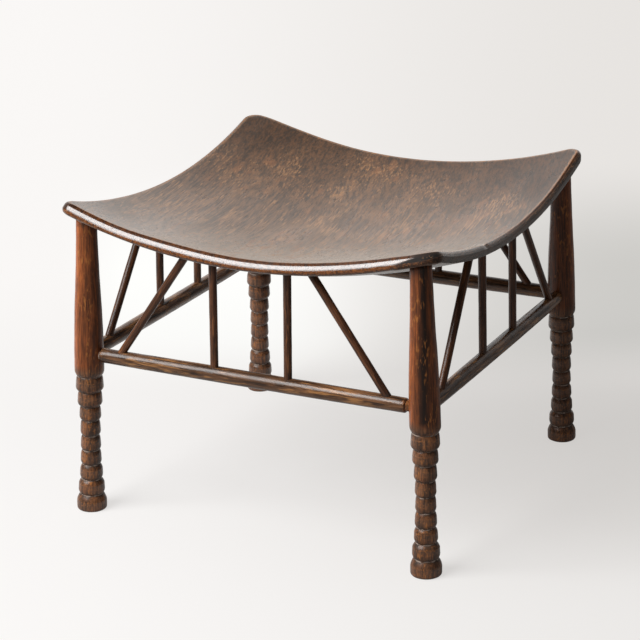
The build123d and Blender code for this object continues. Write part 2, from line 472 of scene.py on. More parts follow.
def leg_oak():
    """The legs keep a reddish stain with darker streaks, with painted light and shade on their bodies;
    their worn rings are browner.
    """
    looks = {
        "brown": (0.34, 0.098, 0.028, 1),
        "dark": (0.105, 0.033, 0.013, 1),
        "marked": {
            # The pale tones are painted light on the side of each leg that faces the lamp
            "pale": ((0.76, 0.205, 0.052, 1), (0.36, 0.098, 0.028, 1)),
            "ringed": ((0.34, 0.150, 0.070, 1), (0.100, 0.050, 0.029, 1)),
        },
        "breaks": 480.0,
        "bare": (0.52, 0.19, 0.045, 1),
        "stain": 0.5,
        "rubbed": 0.6,
        "pores": 0.6,
        "fineness": 1.1,
        "cloud spread": 38.0,
        "flecks": {"Amount": 0.12, "Length": 0.3, "Fineness": 420.0, "Spread": 60.0},
        "roughness": (0.30, 0.5),
        "shine": 0.35,
        "relief": 0.14,
    }
    material, nodes, surface = stained_oak("reddish leg oak", looks)
    nodes.feed(surface.inputs["Coat Weight"], nodes.times(nodes.mark("worn"), 0.9))
    surface.inputs["Coat Roughness"].default_value = 0.14
    return material


def rail_oak():
    """The rails are streaked dark and gold."""
    looks = {
        "brown": (0.300, 0.138, 0.062, 1),
        "dark": (0.050, 0.024, 0.013, 1),
        "marked": {},
        "breaks": 220.0,
        "bare": GOLDEN_OAK,
        "stain": 0.5,
        "rubbed": 0.8,
        "pores": 0.6,
        "fineness": 1.1,
        "cloud spread": 26.0,
        "flecks": {"Amount": 0.38, "Length": 0.1, "Fineness": 420.0, "Spread": 40.0},
        "roughness": (0.22, 0.40),
        "shine": 0.5,
        "relief": 0.14,
    }
    return stained_oak("dark rail oak", looks)[0]


def spindle_oak():
    """The spindles are dark and even."""
    looks = {
        "brown": (0.200, 0.076, 0.032, 1),
        "dark": (0.058, 0.025, 0.014, 1),
        "marked": {},
        "breaks": 220.0,
        "bare": (0.34, 0.130, 0.045, 1),
        "stain": 0.5,
        "rubbed": 0.6,
        "pores": 0.5,
        "fineness": 1.2,
        "cloud spread": 30.0,
        "flecks": {"Amount": 0.1, "Length": 0.12, "Fineness": 420.0, "Spread": 40.0},
        "roughness": (0.30, 0.46),
        "shine": 0.38,
        "relief": 0.12,
    }
    return stained_oak("dark spindle oak", looks)[0]


OAK = {
    "seat_oak": seat_oak(),
    "leg_oak": leg_oak(),
    "rail_oak": rail_oak(),
    "spindle_oak": spindle_oak(),
}


def waver(places, size, seed):
    """Smooth noise from -1 to 1 at each place, its lumps about as large as size."""
    shift = Vector((seed * 7.31, seed * 3.17, seed * 1.93))
    return np.array([noise.noise(Vector(place) / size + shift) for place in places.tolist()])


def hump(distance, width):
    """A round hump of height one that fades with distance."""
    return np.exp(-((distance / width) ** 2))


def smooth_step(value, low, high):
    share = np.clip((value - low) / (high - low), 0, 1)
    return share * share * (3 - 2 * share)


def under_seat(start, direction):
    """How far along a line from start to the underside of the seat."""
    to_start = start - DISH_CENTRE
    along = direction.dot(to_start)
    return -along - sqrt(along**2 - to_start.dot(to_start) + UNDERSIDE_RADIUS**2)


def add_mark(mesh, label, values):
    """Writes one value for each point of a mesh, for the material to read."""
    mesh.attributes.new(label, "FLOAT", "POINT").data.foreach_set("value", values.astype(np.float32))


def add_piece(name, node, slot, points, faces, timber, marks):
    """Adds a finished piece of wood in place of its plain node."""
    mesh = bpy.data.meshes.new(name)
    mesh.from_pydata(points.tolist(), [], faces)
    for label, values in marks.items():
        add_mark(mesh, label, values)
    places = mesh.attributes.new("timber", "FLOAT_VECTOR", "POINT")
    places.data.foreach_set("vector", timber.astype(np.float32).ravel())
    mesh.validate()
    mesh.shade_smooth()
    mesh.materials.append(OAK[slot])
    piece = bpy.data.objects.new(name, mesh)
    bpy.context.scene.collection.objects.link(piece)
    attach(piece, "root")
    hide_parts(node)
    return piece


def wrap(loops, count, reverse=False):
    """Faces round stacked loops of points, closed by two middle points that come after the loops."""
    first_middle, last_loop = loops * count, (loops - 1) * count
    faces = []
    for start in range(0, last_loop, count):
        for step in range(count):
            near, far = start + step, start + (step + 1) % count
            faces.append((near, far, far + count, near + count))
    for step in range(count):
        after = (step + 1) % count
        faces.append((first_middle, after, step))
        faces.append((first_middle + 1, last_loop + step, last_loop + after))
    return [(face[0], *face[:0:-1]) for face in faces] if reverse else faces


# Points round a turned piece
ROUND = 64

# The sizes of the waves, dents and chips in a turned piece, the levels of the noise above which
# dents and chips start, how much deeper than the waves the dents are, and the chips' depth
WAVE_SIZE = 14 * MM
DENT_SIZE = 4.5 * MM
CHIP_SIZE = 2.2 * MM
DENT_LEVEL = 0.25
CHIP_LEVEL = 0.12
DENT_SHARE = 1.6
CHIP_DEPTH = 0.7 * MM


def directions_across(axis):
    """Two directions across an axis, from which the angles round a piece are counted."""
    across = axis.cross(Vector((0.3, 1, 0.2))).normalized()
    return across, axis.cross(across)


def turn(name, node, slot, start, axis, rows, seed, unevenness):
    """Turns a piece: each row has a height, a radius and the marks worn and grime, where grime also
    stands for painted shade.

    A row's height may be a list with one height for each direction round the piece.
    """
    rng = np.random.default_rng(seed)
    across, beside = directions_across(axis)
    angles = np.arange(ROUND) * 2 * pi / ROUND
    heights = np.array([np.broadcast_to(row[0], ROUND) for row in rows])
    radii = np.array([np.broadcast_to(row[1], ROUND) for row in rows]).astype(float)
    worn = np.repeat([float(row[2]) for row in rows], ROUND)
    grime = np.repeat([float(row[3]) for row in rows], ROUND)
    local = np.stack([radii * np.cos(angles), radii * np.sin(angles), heights], axis=2)
    local = local.reshape(-1, 3)
    dents = np.clip(waver(local, DENT_SIZE, seed + 40) - DENT_LEVEL, 0, 1)
    chips = np.clip(waver(local, CHIP_SIZE, seed + 80) - CHIP_LEVEL, 0, 1)
    shape = unevenness * waver(local, WAVE_SIZE, seed)
    shape -= unevenness * DENT_SHARE * dents + CHIP_DEPTH * worn * chips
    grown = np.maximum(radii.ravel() + shape, 0)
    points = (
        np.outer(grown * np.tile(np.cos(angles), len(rows)), across)
        + np.outer(grown * np.tile(np.sin(angles), len(rows)), beside)
        + np.outer(heights.ravel(), axis)
        + np.array(start)
    )
    ends = [float(heights[0].mean()), float(heights[-1].mean())]
    points = np.vstack([points, [start + axis * end for end in ends]])
    local = np.vstack([local, [(0, 0, end) for end in ends]])
    pith = np.array([rng.uniform(20, 45) * MM, rng.uniform(-30, 30) * MM, rng.uniform(0, 3)])
    marks = {"worn": np.append(worn, [0, 0]), "grime": np.append(grime, [0, 0])}
    return add_piece(name, node, slot, points, wrap(len(rows), ROUND), local + pith, marks)


def leg_line(corner):
    """The foot of a leg's axis on the floor, and the axis's direction."""
    side_x, side_y = CORNERS[corner]
    foot = Vector((side_x, side_y, 0)) * (FOOT_SPACING / 2)
    return foot, Vector((-side_x * LEAN, -side_y * LEAN, 1)).normalized()


def taper_share(height):
    """How much of a leg's taper is left at a share of the height of its body."""
    if height < 0.5:
        return 1 - 1.72 * height**2
    past = height - 0.5
    return 0.57 - 1.72 * past + 1.16 * past**2


def foot_rows():
    """The foot: rounded below, where it reaches past the floor, and straight up to its arris."""
    rows = []
    for share in np.linspace(0, 1, 7):
        turned = share * pi / 2
        height = FOOT_EDGE * (1 - cos(turned)) - FOOT_CUT_OFF
        radius = FOOT_RADIUS - FOOT_EDGE * (1 - sin(turned))
        # The foot's lower rim is darkened as a painted contact shadow
        rows.append((height, radius, 0.3 * share, 0.5 * (1 - share)))
    for height in (5 * MM, 7.5 * MM, 9.4 * MM):
        rows.append((height, FOOT_RADIUS, *FACE_MARKS))
    rows.append((FOOT_ARRIS - 0.3 * MM, FOOT_RADIUS - 0.05 * MM, 0.5, 0.1))
    rows.append((FOOT_ARRIS + 0.5 * MM, FOOT_RADIUS - 0.25 * MM, 0.45, 0.3))
    return rows


def slope_rows(top_height, top_radius, low, groove):
    """The slope from the top of a ring or the foot into the dusty groove above it."""
    rows = []
    for share in (0.12, 0.35, 0.6, 0.85):
        height = top_height + (low - top_height) * share
        radius = top_radius + (groove - top_radius) * share + GROOVE_BOW * sin(pi * share)
        rows.append((height, radius, 0.15, 0.2 + 0.5 * share**2))
    rows.append((low, groove, *GROOVE_MARKS))
    return rows


def ring_rows(low, pitch, swell, groove):
    """A ring: rounded where it rises from its groove, then nearly straight up to its arris."""
    rise, reach = pitch * RISE_SHARE, swell - groove
    curve = (reach**2 + rise**2) / (2 * reach)
    rows = []
    for share in (0.08, 0.2, 0.4, 0.6, 0.8, 1):
        radius = swell - curve + sqrt(curve**2 - (rise * (1 - share)) ** 2)
        rows.append((low + rise * share, radius, 0.1, 0.3 + 0.55 * (1 - share) ** 2))
    for share in (0.4, 0.52, 0.63):
        radius = swell - RING_TAPER * (share - RISE_SHARE) / FACE_SPAN
        rows.append((low + pitch * share, radius, *FACE_MARKS))
    rows.append((low + pitch * ARRIS_SHARE, swell - RING_TAPER, 0.55, 0.1))
    rows.append((low + pitch * TURN_SHARE, swell - RING_TAPER * 1.4, 0.5, 0.3))
    return rows


def body_rows(low, groove, heads):
    """The shoulder above the last groove, and the body that tapers up to the seat."""
    rows = []
    for share in (0.15, 0.35, 0.55, 0.75, 1):
        radius = groove + (LEG_RADIUS - groove) * sin(share * pi / 2) ** 0.9
        rows.append((low + SHOULDER_HEIGHT * share, radius, 0.1, 0.6 * (1 - share)))
    start = low + SHOULDER_HEIGHT
    for share in np.linspace(0, 1, 41)[1:]:
        radius = LEG_HEAD_RADIUS + (LEG_RADIUS - LEG_HEAD_RADIUS) * taper_share(share)
        # The top of the body is darkened as painted shadow under the seat
        grime = 0.6 * max(0, share - 0.93) / 0.07
        rows.append((start + (heads - start) * share, radius, 0, grime))
    return rows


def leg_heads(foot, up):
    """How high up its axis a leg meets the underside of the seat, for each direction round it."""
    across, beside = directions_across(up)
    heads = []
    for step in range(ROUND):
        angle = step * 2 * pi / ROUND
        edge = foot + (across * cos(angle) + beside * sin(angle)) * LEG_HEAD_RADIUS
        heads.append(under_seat(edge, up))
    return np.array(heads)


def make_leg(corner, seed):
    """A leg: its foot, eight rings with sloping tops, and the smooth swelling body."""
    rng = np.random.default_rng(seed)
    foot, up = leg_line(corner)
    grooves = [FOOT_HEIGHT + number * RING_PITCH for number in range(len(RING_SWELLS) + 1)]
    grooves = [height + rng.uniform(-UNEVEN_PLACE, UNEVEN_PLACE) for height in grooves]
    swells = [WAIST_RADIUS + (FOOT_RADIUS - WAIST_RADIUS) * share for share in RING_SWELLS]
    swells = [radius + rng.uniform(-UNEVEN_SWELL, UNEVEN_SWELL) for radius in swells]
    bands = [FOOT_RADIUS, *swells, LEG_RADIUS]
    depths = [min(pair) - GROOVE_DEPTH for pair in zip(bands, bands[1:])]
    depths = [radius + rng.uniform(-UNEVEN_DEPTH, UNEVEN_DEPTH) for radius in depths]
    rows = foot_rows()
    top_height, top_radius = FOOT_SLOPE_START
    for low, high, swell, groove in zip(grooves, grooves[1:], swells, depths):
        rows += slope_rows(top_height, top_radius, low, groove)
        rows += ring_rows(low, high - low, swell, groove)
        top_height, top_radius = low + (high - low) * SLOPE_SHARE, swell - RING_SLOPE_INSET
    rows += slope_rows(top_height, top_radius, grooves[-1], depths[-1])
    heads = leg_heads(foot, up)
    rows += body_rows(grooves[-1], depths[-1], heads)
    name = f"leg_{corner}"
    leg = turn(f"turned_{name}", name, "leg_oak", foot, up, rows, seed, LEG_UNEVENNESS)
    body_start = grooves[-1] + SHOULDER_HEIGHT
    lean = LEANING_HEADS.get(corner, 0)
    for vertex in leg.data.vertices:
        vertex.co.x += lean * max(0, (vertex.co.z - body_start) / (heads.mean() - body_start))
        vertex.co = [min(max(value, low), high) for value, low, high in zip(vertex.co, *cad_box)]
    mark_leg(leg.data, corner, foot, up, body_start, seed)


# Painted light on the side toward the lamp and painted shade away from it, on the legs' bodies, by
# degrees round from the front: middle, spread and strength
LEG_LIGHT_AND_SHADE = {
    "front_left": {"pale": (-40, 44, 1.0), "stained": (85, 34, 0.3)},
    "front_right": {"pale": (-54, 38, 0.66), "stained": (21, 30, 0.98)},
    "back_right": {"pale": (100, 40, 0.2), "stained": (-20, 40, 0.35)},
    "back_left": {"pale": (-50, 45, 0.35), "stained": (60, 40, 0.25)},
}
STRIPE_SWAY = 9
RING_TONE = 0.85
UNEVEN_TONE = 0.3


def mark_leg(mesh, corner, foot, up, body_start, seed):
    """Marks painted light and painted shade in stripes up a leg's body, by how it faces the lamp, and
    the tone of its worn rings.
    """
    points = np.array([vertex.co[:] for vertex in mesh.vertices])
    axis = np.array(foot) + np.outer(points[:, 2] / up.z, up)
    around = np.degrees(np.arctan2(points[:, 0] - axis[:, 0], axis[:, 1] - points[:, 1]))
    around += STRIPE_SWAY * waver(points * (1, 1, 0.4), 14 * MM, seed + 120)
    on_body = smooth_step(points[:, 2], body_start, body_start + 8 * MM)
    for label, (middle, spread, strength) in LEG_LIGHT_AND_SHADE[corner].items():
        away = (around - middle + 180) % 360 - 180
        add_mark(mesh, label, strength * hump(away, spread) * on_body)
    tone = RING_TONE + UNEVEN_TONE * waver(points, 9 * MM, seed + 160)
    add_mark(mesh, "ringed", np.clip(tone, 0, 1) * (1 - on_body))


def side_middle(side):
    """The middle of a side's rail, the rail's direction and the way outwards."""
    along = SIDES[side][0]
    outward = along.cross(UP)
    return outward * (RAIL_SPACING / 2) + UP * RAIL_HEIGHT, along, outward


def lattice_lines(side):
    """The uprights and braces of a side: each name with its point on the rail's axis and direction."""
    middle, along, outward = side_middle(side)
    rise = under_seat(middle, UP)
    lines = {}
    for turned, end in zip((-1, 1), SIDES[side][1]):
        for kind, low, high in (
            ("spindle", UPRIGHT_SPACING / 2, UPRIGHT_SPACING / 2),
            ("brace", BRACE_FOOT_SPACING / 2, BRACE_HEAD_SPACING / 2),
        ):
            name = f"{kind}_{side}_{end}"
            reach = high + ASKEW_HEADS.get(name, 0)
            start = middle + along * (turned * low)
            top = middle + along * (turned * reach) + UP * rise - outward * (LEAN * rise)
            lines[name] = (start, (top - start).normalized())
    return lines


def rail_end_rows(shoulder, tenon_end, worn, grime):
    """An end of a rail, from its tenon inwards: each height is how far it is from the middle."""
    rows = [
        (tenon_end, RAIL_TENON_RADIUS - RAIL_TENON_EDGE, 0, 0),
        (tenon_end - RAIL_TENON_EDGE, RAIL_TENON_RADIUS, 0, 0),
        (shoulder + RAIL_TENON_EDGE, RAIL_TENON_RADIUS, worn, grime),
        # The shoulder and its rounding are darkened as painted shade where the rail meets the leg
        (shoulder, RAIL_TENON_RADIUS + RAIL_TENON_FLARE, 0, 0.8),
    ]
    for share in np.linspace(0, 1, 6):
        turned = share * pi / 2
        height = shoulder - RAIL_ROUNDING * (1 - cos(turned))
        radius = RAIL_END_RADIUS - RAIL_ROUNDING * (1 - sin(turned))
        rows.append((height, radius, 0.55, 0.4 * (1 - share)))
    return rows


def make_rail(side, seed):
    """A rail: it swells a little in the middle and has rounded shoulders and round tenons."""
    middle, along, _ = side_middle(side)
    left = RAIL_SPACING / 2 - LEG_RADIUS - RAIL_CLEARANCE
    right = left - (RAIL_DRAWN_OUT if side == "front" else 0)
    tenon_end = RAIL_SPACING / 2 - RAIL_TENON_STOP
    rows = [(-height, *rest) for height, *rest in rail_end_rows(left, tenon_end, 0, 1)]
    for share in np.linspace(0, 1, 91)[1:-1]:
        height = -left + RAIL_ROUNDING + (left + right - 2 * RAIL_ROUNDING) * share
        swell = 1 - (2 * share - 1) ** 2
        rows.append((height, RAIL_END_RADIUS + (RAIL_RADIUS - RAIL_END_RADIUS) * swell, 0, 0))
    rows += reversed(rail_end_rows(right, tenon_end, 1, 0))
    name = f"rail_{side}"
    turn(f"turned_{name}", name, "rail_oak", middle, along, rows, seed, RAIL_UNEVENNESS)


def make_spindle(node, start, up, seed):
    """An upright or a brace: a slim round rod from the rail into the seat."""
    low = RAIL_RADIUS - SPINDLE_SUNK
    high = under_seat(start, up) + SPINDLE_TENON
    rows = []
    for share in np.linspace(0, 1, 61):
        grime = 0.7 * max(0, abs(2 * share - 1) - 0.88) / 0.12
        rows.append((low + (high - low) * share, SPINDLE_RADIUS, 0, grime))
    turn(f"turned_{node}", node, "spindle_oak", start, up, rows, seed, SPINDLE_UNEVENNESS)


# The seat's edge, from the top down: arris, shoulder, crease, nearly flat bevel, nose and rounding
EDGE_ARRIS = 1.2 * MM
EDGE_SHOULDER = 12 * MM
EDGE_CREASE = 3 * MM
EDGE_BEVEL = 18.5 * MM
EDGE_NOSE = 5.2 * MM
EDGE_BELOW = 3 * MM
SHOULDER_TOP = radians(67)
SHOULDER_FOOT = radians(49)
BEVEL_TOP = radians(41)
BEVEL_FOOT = radians(27)
NOSE_FOOT = radians(-45)
ARCS_ABOVE = 5

# How much slighter the worn right side's shoulder and bevel are
RIGHT_SIDE_WEAR = 0.45

# The slope of the right side's edge where a line of painted sheen runs, and how far round from there
SHEEN_LINE_SLOPE = radians(44)
SHEEN_LINE_REACH = radians(4)

# The radius of each corner of the outline, from the back right one round to the front right one
CORNER_RADII = (SEAT_CORNER, SEAT_CORNER, SHARP_CORNER, SEAT_CORNER)
STRAIGHT_STEPS = 120
CORNER_STEPS = 16


def seat_outline():
    """Points round the seat's rounded square, each with its way outwards."""
    outline = []
    for quarter, radius in enumerate(CORNER_RADII):
        turned = quarter * pi / 2
        outward = Vector((cos(turned), sin(turned), 0))
        along = Vector((-sin(turned), cos(turned), 0))
        start, end = CORNER_RADII[quarter - 1] - HALF_SIDE, HALF_SIDE - radius
        for share in np.linspace(0, 1, STRAIGHT_STEPS + 1)[:-1]:
            outline.append((outward * HALF_SIDE + along * (start + (end - start) * share), outward))
        corner = (outward + along) * (HALF_SIDE - radius)
        for step in range(CORNER_STEPS):
            angle = turned + step / CORNER_STEPS * pi / 2
            way = Vector((cos(angle), sin(angle), 0))
            outline.append((corner + way * radius, way))
    return outline


def on_ball(place, radius):
    """The height of a ball's lower side, about the middle of the dish, over a place."""
    return DISH_CENTRE.z - sqrt(radius**2 - place.x**2 - place.y**2)


def arc_rows(radius, start, end, steps):
    """Steps along an arc of the edge: each angle, and how far out and up it has come from its start."""
    rows = []
    for share in np.linspace(0, 1, steps + 1)[1:]:
        angle = start + (end - start) * share
        rows.append((angle, radius * (cos(angle) - cos(start)), radius * (sin(angle) - sin(start))))
    return rows


def edge_section(place, outward):
    """The seat's edge at a place of its outline: points from the top to the underside, with angles.

    Its first and last arcs meet the dish at a slope that is found in three rounds from a first guess.
    """
    inset_top, inset_below = 8 * MM, 3 * MM
    slighter = 1 - RIGHT_SIDE_WEAR * max(outward.x, 0)
    for _ in range(3):
        top = place - outward * inset_top
        below = place - outward * inset_below
        top_z, below_z = on_ball(top, DISH_RADIUS), on_ball(below, UNDERSIDE_RADIUS)
        top_angle = pi / 2 + atan2(top.dot(outward), DISH_CENTRE.z - top_z)
        below_angle = -pi / 2 + atan2(below.dot(outward), DISH_CENTRE.z - below_z)
        arcs = [
            arc_rows(EDGE_ARRIS, top_angle, SHOULDER_TOP, 5),
            arc_rows(EDGE_SHOULDER * slighter, SHOULDER_TOP, SHOULDER_FOOT, 4),
            arc_rows(EDGE_CREASE, SHOULDER_FOOT, BEVEL_TOP, 2),
            arc_rows(EDGE_BEVEL * slighter, BEVEL_TOP, BEVEL_FOOT, 6),
            arc_rows(EDGE_NOSE, BEVEL_FOOT, 0, 4),
            arc_rows(EDGE_NOSE, 0, NOSE_FOOT, 5),
            arc_rows(EDGE_BELOW, NOSE_FOOT, below_angle, 3),
        ]
        inset_top = sum(arc[-1][1] for arc in arcs[:ARCS_ABOVE])
        inset_below = -sum(arc[-1][1] for arc in arcs[ARCS_ABOVE:])
    section = [(top_angle, -inset_top, top_z)]
    for number, arc in enumerate(arcs):
        _, out, up = section[-1]
        if number == ARCS_ABOVE:
            up = below_z - sum(lower[-1][2] for lower in arcs[ARCS_ABOVE:])
            section.append((0.0, out, up))
        section += [(angle, out + across, up + rise) for angle, across, rise in arc]
    return section


# Loops of points from the middle of the top to its edge, and from the underside's edge to its middle
TOP_LOOPS = 46
UNDERSIDE_LOOPS = 24

# An old notch in the right edge
NOTCH = np.array((209, -80, 320)) * MM
NOTCH_SPREAD = np.array((5, 4, 4)) * MM
NOTCH_DEPTH = 2.4 * MM

# Waves over the whole seat, with heights and sizes, and chips at its worn edge, with depths, sizes
# and the level of the noise above which they start
SEAT_WAVES = ((0.12 * MM, 60 * MM), (0.05 * MM, 18 * MM))
SEAT_CHIPS = ((0.7 * MM, 7 * MM, 0.2), (0.5 * MM, 2.6 * MM, 0.15))

# How far the left edge and the left of the back edge have warped upwards, where at the back, and
# how near the left edge the back's lift dies away
SIDE_LIFT = 2.8 * MM
BACK_LIFT = 3.2 * MM
BACK_LIFT_MIDDLE = -160 * MM
BACK_LIFT_WIDTH = 80 * MM
BACK_LIFT_START = 40 * MM
BACK_LIFT_ROOM = 40 * MM

# Wear along the front edge, with depths, middles, widths and how far back it reaches
FRONT_WEAR = (
    (2.0 * MM, -150 * MM, 50 * MM, 65 * MM),
    (1.0 * MM, 165 * MM, 60 * MM, 65 * MM),
    (1.6 * MM, 20 * MM, 80 * MM, 40 * MM),
)

# Wear at the front right corner and along the right edge, with depths and how far in it reaches,
# and between which places along the right edge its wear sets in and fades out
CORNER_WEAR = (3.2 * MM, 34 * MM)
RIGHT_WEAR = (2.4 * MM, 42 * MM)
RIGHT_WEAR_START = (-205 * MM, -165 * MM)
RIGHT_WEAR_END = (190 * MM, 90 * MM)

# How far below their top the highest tips have worn soft
TIP_WEAR = 2.3 * MM

# Where along the front edge its dull right tip starts, and how far that start slants
DULL_TIP = (185 * MM, 192 * MM)
DULL_TIP_SLANT = 17 * MM

# The way of the grain, from front to back, and the seat's place in its timber
SEAT_GRAIN = radians(8)
TIMBER_PLACE = (0.31, 0.12, 0.55)

# Where the stain has worn thinnest, and how far from there it is whole
SAT_ON = (-18 * MM, -65 * MM)
SAT_ON_REACH = 275 * MM

# Scuffed spots on the seat, each with its half length along the grain, and the dark stain near them
SCUFFS = ((-8, 6, 22), (-30, 34, 14), (-20, 70, 16), (-44, 112, 20), (30, 12, 16), (66, 40, 12))
SCUFF_WIDTH = 6 * MM
SCUFF_SHARE = 0.65
OLD_STAIN = (14 * MM, 34 * MM)
OLD_STAIN_REACH = 32 * MM

# Between which places the seat darkens towards its right and its back, and a painted sheen grows paler
# towards its front and its right
DARKENED_RIGHT = (120 * MM, 190 * MM)
DARKENED_BACK = (-170 * MM, -60 * MM)
PAINTED_SHEEN_FRONT = (0, 185 * MM)
PAINTED_SHEEN_RIGHT = (-230 * MM, 70 * MM)

BARE_MARKS = dict.fromkeys(("worn", "grime", "polish", "dulled", "stained", "edge", "sat_on"), 0)
RIM_MARKS = {**BARE_MARKS, "worn": 0.55, "sat_on": 1}
UNDERSIDE_MARKS = {**BARE_MARKS, "grime": 0.1}


def warp(x, y):
    """How far the old seat has warped upwards: along its left edge and at the left of its back edge."""
    leftward = np.clip(-x / HALF_SIDE, 0, 1) ** 1.5
    across = hump(x - BACK_LIFT_MIDDLE, BACK_LIFT_WIDTH)
    at_back = across * smooth_step(y, BACK_LIFT_START, HALF_SIDE)
    corner_room = smooth_step(x, -HALF_SIDE, -HALF_SIDE + BACK_LIFT_ROOM)
    return SIDE_LIFT * leftward * (1 - (y / HALF_SIDE) ** 2) + BACK_LIFT * at_back * corner_room


def worn_down(x, y):
    """How far the top has worn down along its front and right edges, most at their corner."""
    worn = 0
    for depth, middle, width, reach in FRONT_WEAR:
        worn += depth * hump(x - middle, width) * hump(y + HALF_SIDE, reach)
    depth, reach = CORNER_WEAR
    worn += depth * hump(np.hypot(x - HALF_SIDE, y + HALF_SIDE), reach)
    depth, reach = RIGHT_WEAR
    between = smooth_step(y, *RIGHT_WEAR_START) * smooth_step(y, *RIGHT_WEAR_END)
    return worn + depth * hump(x - HALF_SIDE, reach) * between


def edge_finish(angle, place, outward):
    """The marks of the seat's edge, by its slope, its place and the way it faces, with painted shade
    and a painted sheen line.
    """
    lower = min(max((BEVEL_TOP - angle) / (BEVEL_TOP - BEVEL_FOOT), 0), 1)
    past = smooth_step(place.x + DULL_TIP_SLANT * lower, *DULL_TIP)
    forward = smooth_step(-outward.y - 0.4 * outward.x, 0.1, 0.7) * (1 - past)
    sideways = max(outward.x, 0)
    at_tip = past * smooth_step(-outward.y, 0.12, 0.45)
    marks = {**BARE_MARKS, "stained": 0.9 * at_tip, "dulled": at_tip, "edge": 1}
    if angle > SHOULDER_TOP + 0.05:
        marks.update(worn=0.85 - 0.3 * at_tip, edge=0.3, sat_on=1, stained=0.45 * at_tip)
    elif angle > BEVEL_TOP + 0.01:
        marks.update(stained=0.6 + 0.35 * at_tip, worn=0.15 * at_tip)
    elif angle > BEVEL_FOOT - 0.08:
        upper = smooth_step(angle, BEVEL_FOOT - 0.02, BEVEL_FOOT + 0.08)
        # On the right side, which faces away from the lamp, the bevel is darkened as painted shade
        marks.update(polish=0.95 * forward * upper, stained=max(0.6 * forward, at_tip, 0.78 * sideways))
        marks.update(sat_on=0.5 * sideways, edge=1 - 0.6 * sideways, worn=0.4 * sideways * (1 - at_tip))
    # From the nose down the edge is darkened as painted shade as it turns under, more on the right side
    elif angle > NOSE_FOOT:
        shaded = 0.2 + 0.55 * smooth_step(-angle, -0.1, 0.7) + 0.45 * sideways
        marks.update(worn=0.45 * (1 - 0.5 * sideways), edge=1 - 0.4 * sideways)
        marks.update(stained=max(shaded, 0.9 * marks["stained"]))
    else:
        marks.update(worn=0.2, stained=0.4, edge=0.6)
    # A line of painted sheen along the right side's edge, marked as worn, that lightens the darkening
    # there
    rubbed = sideways * (1 - at_tip) * hump(angle - SHEEN_LINE_SLOPE, SHEEN_LINE_REACH)
    marks.update(worn=max(marks["worn"], 0.85 * rubbed), sat_on=max(marks["sat_on"], 0.6 * rubbed))
    marks["stained"] *= 1 - 0.9 * rubbed
    return marks


def seat_loops(outline, sections):
    """Loops of points over the top, round the edge and over the underside of the seat.

    Gives each point's place, the way its surface faces, its marks and its share of the top's wear.
    """
    loops = []
    for loop in range(1, TOP_LOOPS):
        share = 1 - (1 - loop / TOP_LOOPS) ** 1.4
        marks = BARE_MARKS if loop < TOP_LOOPS - 1 else RIM_MARKS
        for (place, outward), section in zip(outline, sections):
            flat = (place + outward * section[0][1]) * share
            spot = Vector((flat.x, flat.y, on_ball(flat, DISH_RADIUS)))
            loops.append((spot, (DISH_CENTRE - spot).normalized(), marks, 1))
    for rows in zip(*sections):
        for (place, outward), (angle, out, height) in zip(outline, rows):
            flat = place + outward * out
            spot = Vector((flat.x, flat.y, height))
            share = min(max((angle - NOSE_FOOT) / (BEVEL_FOOT - NOSE_FOOT), 0), 1)
            facing = outward * cos(angle) + UP * sin(angle)
            loops.append((spot, facing, edge_finish(angle, place, outward), share))
    for loop in range(1, UNDERSIDE_LOOPS):
        share = 1 - loop / UNDERSIDE_LOOPS
        for (place, outward), section in zip(outline, sections):
            flat = (place + outward * section[-1][1]) * share
            spot = Vector((flat.x, flat.y, on_ball(flat, UNDERSIDE_RADIUS)))
            loops.append((spot, (spot - DISH_CENTRE).normalized(), UNDERSIDE_MARKS, 0))
    places, facings, finish, lowered = zip(*loops)
    return np.array(places), np.array(facings), finish, np.array(lowered)


def age_seat(places, facings, worn, notch, lowered, seed):
    """The seat's points after its waves, chips and notch, its warp and the wear of its top."""
    lift = -NOTCH_DEPTH * notch
    for number, (height, size) in enumerate(SEAT_WAVES):
        lift += height * waver(places, size, seed + number)
    for number, (depth, size, level) in enumerate(SEAT_CHIPS):
        chips = waver(places, size, seed + len(SEAT_WAVES) + number)
        lift -= depth * worn * np.clip(chips - level, 0, 1)
    points = places + facings * lift[:, None]
    x, y = places[:, 0], places[:, 1]
    points[:, 2] += warp(x, y) - worn_down(x, y) * lowered
    over = np.clip(points[:, 2] - cad_box[1][2] + TIP_WEAR, 0, None)
    points[:, 2] -= over**2 / (4.5 * TIP_WEAR)
    return points


def mark_stains(marks, places, on_top):
    """Adds the dark stain, the darker right side and the scuffed spots to the marks of the top."""
    x, y = places[:, 0], places[:, 1]
    stain = 0.34 * hump(np.hypot(x - OLD_STAIN[0], y - OLD_STAIN[1]), OLD_STAIN_REACH)
    stain += 0.28 * smooth_step(x, *DARKENED_RIGHT) * smooth_step(y, *DARKENED_BACK)
    marks["stained"] = np.maximum(marks["stained"], stain * on_top)
    marks["scuffed"] = np.zeros(len(x))
    for middle_x, middle_y, length in SCUFFS:
        scuff = hump(x - middle_x * MM, SCUFF_WIDTH) * hump(y - middle_y * MM, length * MM)
        marks["scuffed"] = np.maximum(marks["scuffed"], SCUFF_SHARE * scuff * on_top)


def mark_wear_and_sheen(marks, points, on_top, seed):
    """Adds where the seat was sat on, and a painted sheen that is palest towards the front right."""
    x, y = points[:, 0], points[:, 1]
    patchy = 0.12 * waver(points, 45 * MM, seed + 4) + 0.08 * waver(points, 20 * MM, seed + 5)
    distance = np.hypot(x - SAT_ON[0], y - SAT_ON[1])
    sat_on = np.clip(1.1 - (distance / SAT_ON_REACH) ** 2 + patchy, 0, 1)
    marks["sat_on"] = np.where(on_top, sat_on, marks["sat_on"])
    # A painted sheen: the top grows paler towards its front and its right, and the edge a little where
    # it is sat on
    pale = smooth_step(0.25 * x - y, *PAINTED_SHEEN_FRONT) * smooth_step(x, *PAINTED_SHEEN_RIGHT)
    marks["pale"] = np.where(on_top, pale, 0.25 * marks["sat_on"])


